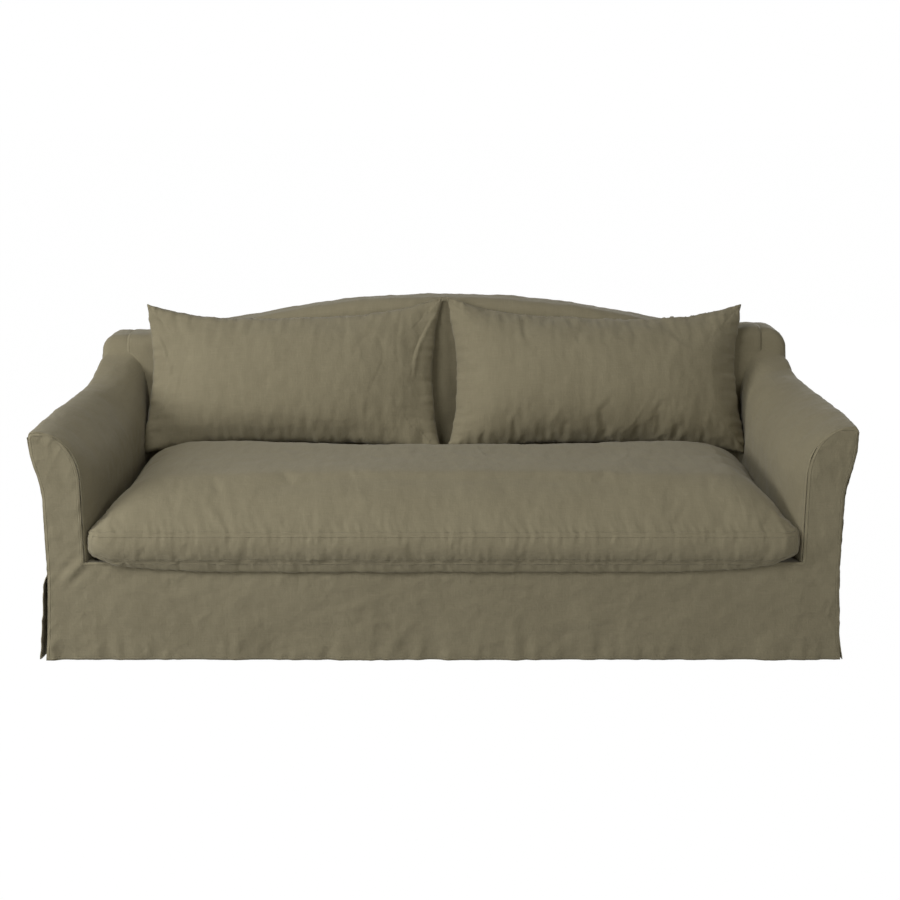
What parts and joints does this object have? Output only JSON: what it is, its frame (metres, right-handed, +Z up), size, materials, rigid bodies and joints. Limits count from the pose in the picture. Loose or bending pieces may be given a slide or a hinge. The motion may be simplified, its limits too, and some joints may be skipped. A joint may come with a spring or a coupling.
{
  "type": "camelback sofa",
  "caption": "Loose-covered sofa with a humped back, arms that sweep up into it, a long seat cushion, loose back pillows and a skirt that hides wooden feet.",
  "frame": {"origin": "on the floor under the middle of the sofa's box", "axes": "+X along the sofa's length, to the right as seen from the front, +Y from the front to the back, +Z up"},
  "size_m": [2.22, 0.955, 0.9011],
  "materials": {
    "linen": "washed linen, matte",
    "lining_linen": "linen in shade, matte",
    "wood": "sawn beech, unfinished",
    "plywood": "thin plywood, unfinished",
    "foam": "foam and batting",
    "steel": "drawn wire and plated zip slider",
    "webbing": "woven elastic webbing and zip tape",
    "dust_cloth": "black non-woven cloth"
  },
  "bodies": {
    "sofa_body": {"front_rail": "wood", "rear_rail": "wood", "right_side_rail": "wood", "left_side_rail": "wood", "right_cross_rail": "wood", "left_cross_rail": "wood", "right_front_corner_block": "wood", "left_front_corner_block": "wood", "right_rear_corner_block": "wood", "left_rear_corner_block": "wood", "right_front_post": "wood", "left_front_post": "wood", "right_rear_post": "wood", "left_rear_post": "wood", "right_centre_post": "wood", "left_centre_post": "wood", "camel_top_rail": "wood", "back_lower_rail": "wood", "right_arm_top_rail": "wood", "left_arm_top_rail": "wood", "right_front_foot": "wood", "centre_front_foot": "wood", "left_front_foot": "wood", "right_rear_foot": "wood", "centre_rear_foot": "wood", "left_rear_foot": "wood", "right_arm_side_panel": "plywood", "left_arm_side_panel": "plywood", "back_panel_board": "plywood", "front_panel": "linen", "outside_back_panel": "linen", "inside_back_panel": "linen", "right_outside_arm_panel": "linen", "left_outside_arm_panel": "linen", "right_inside_arm_panel": "linen", "left_inside_arm_panel": "linen", "deck_panel": "lining_linen", "right_pleat_backing": "lining_linen", "left_pleat_backing": "lining_linen", "seat_deck_pad": "foam", "right_arm_pad": "foam", "left_arm_pad": "foam", "back_pad": "foam", "seat_spring_1": "steel", "seat_spring_2": "steel", "seat_spring_3": "steel", "seat_spring_4": "steel", "seat_spring_5": "steel", "seat_spring_6": "steel", "seat_spring_7": "steel", "back_strap_1": "webbing", "back_strap_2": "webbing", "back_strap_3": "webbing", "back_strap_4": "webbing", "dust_cover": "dust_cloth"},
    "seat_cushion": {"seat_cushion": "linen", "seat_zip_chain": "webbing"},
    "zip_slider": {"seat_zip_slider": "steel"},
    "right_pillow": {"right_back_pillow": "linen"},
    "left_pillow": {"left_back_pillow": "linen"}
  },
  "joints": [
    {"name": "seat_cushion_lift", "type": "slide", "parent": "sofa_body", "child": "seat_cushion", "axis": [0, 0, 1], "range_m": [0, 0.62]},
    {"name": "right_pillow_lift", "type": "slide", "parent": "seat_cushion", "child": "right_pillow", "axis": [0, 0, 1], "range_m": [0, 0.48]},
    {"name": "left_pillow_lift", "type": "slide", "parent": "seat_cushion", "child": "left_pillow", "axis": [0, 0, 1], "range_m": [0, 0.48]},
    {"name": "seat_zip_slide", "type": "slide", "parent": "seat_cushion", "child": "zip_slider", "axis": [1, 0, 0], "range_m": [0, 1.56]}
  ]
}
